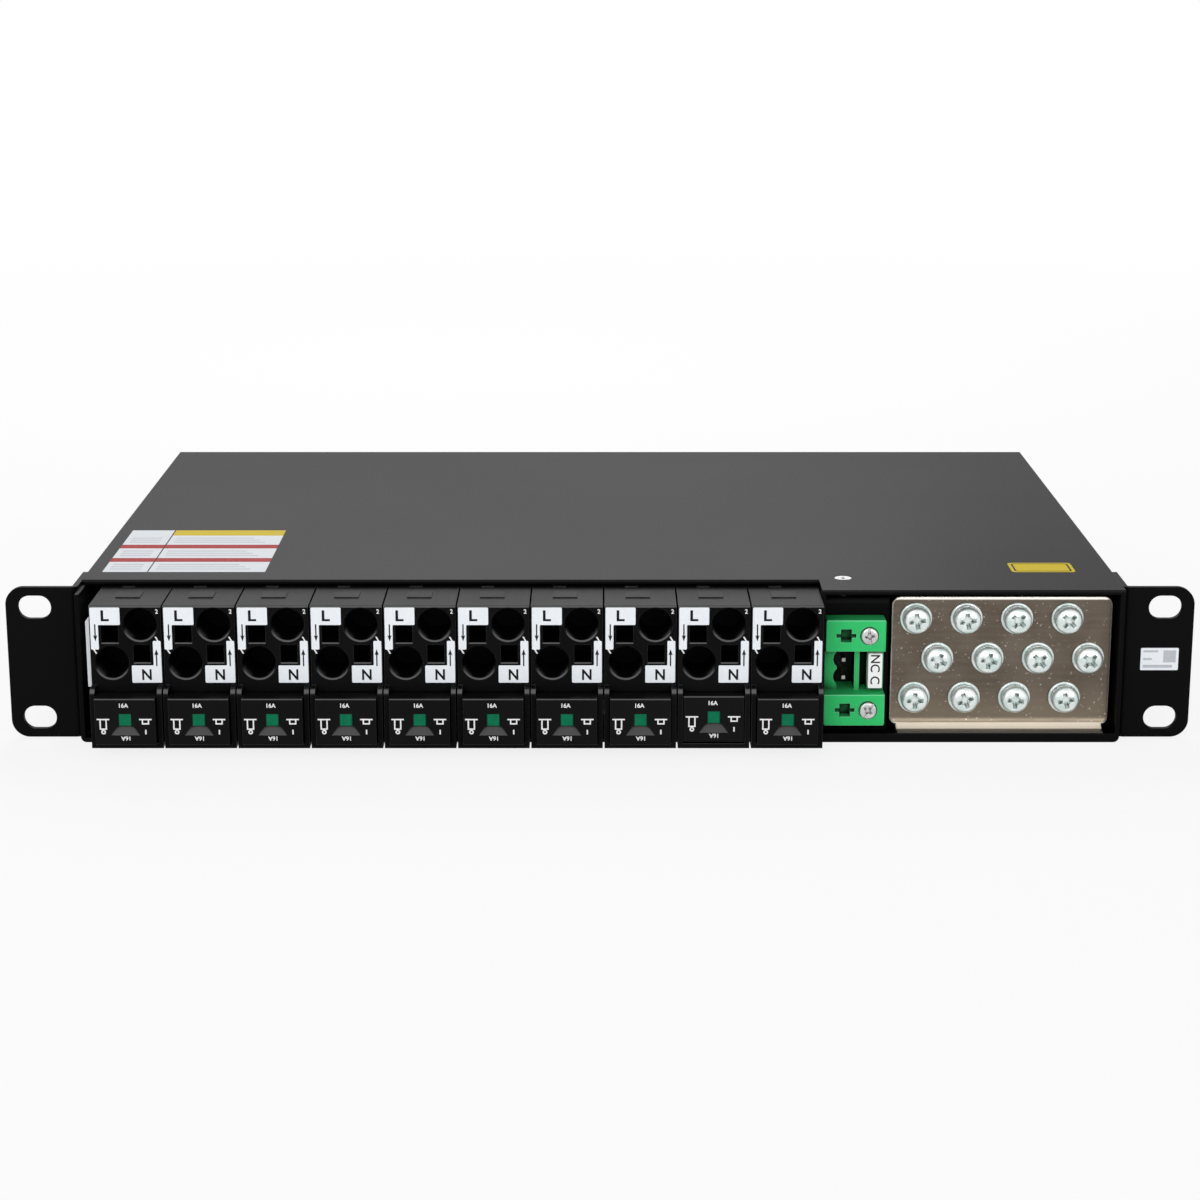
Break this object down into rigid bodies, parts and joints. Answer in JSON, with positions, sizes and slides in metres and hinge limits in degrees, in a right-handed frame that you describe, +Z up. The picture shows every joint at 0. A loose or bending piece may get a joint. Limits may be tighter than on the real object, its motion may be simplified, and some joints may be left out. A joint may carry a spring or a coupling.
{
  "type": "power distribution box",
  "caption": "Flat rack-mounted box with a row of push-button breakers under wire terminals, a small signal header and an earth screw plate, held by slotted ears.",
  "frame": {"origin": "on the base plane, under the middle of the ears' front faces", "axes": "+X along the front to the right, +Y into the box, +Z up"},
  "size_m": [0.329, 0.2122, 0.0436],
  "materials": {
    "case_paint": "fine satin black powder coat",
    "black_screw": "blackened steel screws",
    "zinc_screw": "bright zinc plate",
    "tinned_plate": "tinned sheet with a warm grey tone",
    "tinned_pin": "tinned brass",
    "copper_bar": "bare copper",
    "breaker_plastic": "moulded black plastic, fine grain",
    "button_plastic": "moulded black plastic, satin",
    "terminal_plastic": "moulded grey plastic",
    "window_green": "clear green lens",
    "green_plastic": "moulded green plastic",
    "white_plastic": "white insulating plastic",
    "black_rubber": "matt rubber"
  },
  "bodies": {
    "case": {"chassis_tray": "case_paint", "top_cover": "case_paint", "left_ear": "case_paint", "right_ear": "case_paint", "ear_screws": "black_screw", "cover_screws": "zinc_screw", "breaker_01": "breaker_plastic", "breaker_02": "breaker_plastic", "breaker_03": "breaker_plastic", "breaker_04": "breaker_plastic", "breaker_05": "breaker_plastic", "breaker_06": "breaker_plastic", "breaker_07": "breaker_plastic", "breaker_08": "breaker_plastic", "breaker_09": "breaker_plastic", "breaker_10": "breaker_plastic", "breaker_rail": "zinc_screw", "end_spacer": "white_plastic", "bay_wall": "case_paint", "header_panel": "case_paint", "header_body": "green_plastic", "header_pins": "tinned_pin", "header_screws": "zinc_screw", "earth_plate": "tinned_plate", "earth_screws": "zinc_screw", "earth_washers": "zinc_screw", "earth_nuts": "zinc_screw", "earth_plate_screws": "zinc_screw", "live_bar": "copper_bar", "neutral_bar": "copper_bar", "bar_screws": "zinc_screw", "input_block": "terminal_plastic", "inlet_grommet": "black_rubber"},
    "push_01": {"button_01": "button_plastic", "window_01": "window_green"},
    "push_02": {"button_02": "button_plastic", "window_02": "window_green"},
    "push_03": {"button_03": "button_plastic", "window_03": "window_green"},
    "push_04": {"button_04": "button_plastic", "window_04": "window_green"},
    "push_05": {"button_05": "button_plastic", "window_05": "window_green"},
    "push_06": {"button_06": "button_plastic", "window_06": "window_green"},
    "push_07": {"button_07": "button_plastic", "window_07": "window_green"},
    "push_08": {"button_08": "button_plastic", "window_08": "window_green"},
    "push_09": {"button_09": "button_plastic", "window_09": "window_green"},
    "push_10": {"button_10": "button_plastic", "window_10": "window_green"}
  },
  "joints": [
    {"name": "button_01_slide", "type": "slide", "parent": "case", "child": "push_01", "axis": [0, 1, 0], "range_m": [0, 0.005]},
    {"name": "button_02_slide", "type": "slide", "parent": "case", "child": "push_02", "axis": [0, 1, 0], "range_m": [0, 0.005]},
    {"name": "button_03_slide", "type": "slide", "parent": "case", "child": "push_03", "axis": [0, 1, 0], "range_m": [0, 0.005]},
    {"name": "button_04_slide", "type": "slide", "parent": "case", "child": "push_04", "axis": [0, 1, 0], "range_m": [0, 0.005]},
    {"name": "button_05_slide", "type": "slide", "parent": "case", "child": "push_05", "axis": [0, 1, 0], "range_m": [0, 0.005]},
    {"name": "button_06_slide", "type": "slide", "parent": "case", "child": "push_06", "axis": [0, 1, 0], "range_m": [0, 0.005]},
    {"name": "button_07_slide", "type": "slide", "parent": "case", "child": "push_07", "axis": [0, 1, 0], "range_m": [0, 0.005]},
    {"name": "button_08_slide", "type": "slide", "parent": "case", "child": "push_08", "axis": [0, 1, 0], "range_m": [0, 0.005]},
    {"name": "button_09_slide", "type": "slide", "parent": "case", "child": "push_09", "axis": [0, 1, 0], "range_m": [-0.0025, 0.0025]},
    {"name": "button_10_slide", "type": "slide", "parent": "case", "child": "push_10", "axis": [0, 1, 0], "range_m": [0, 0.005]}
  ]
}
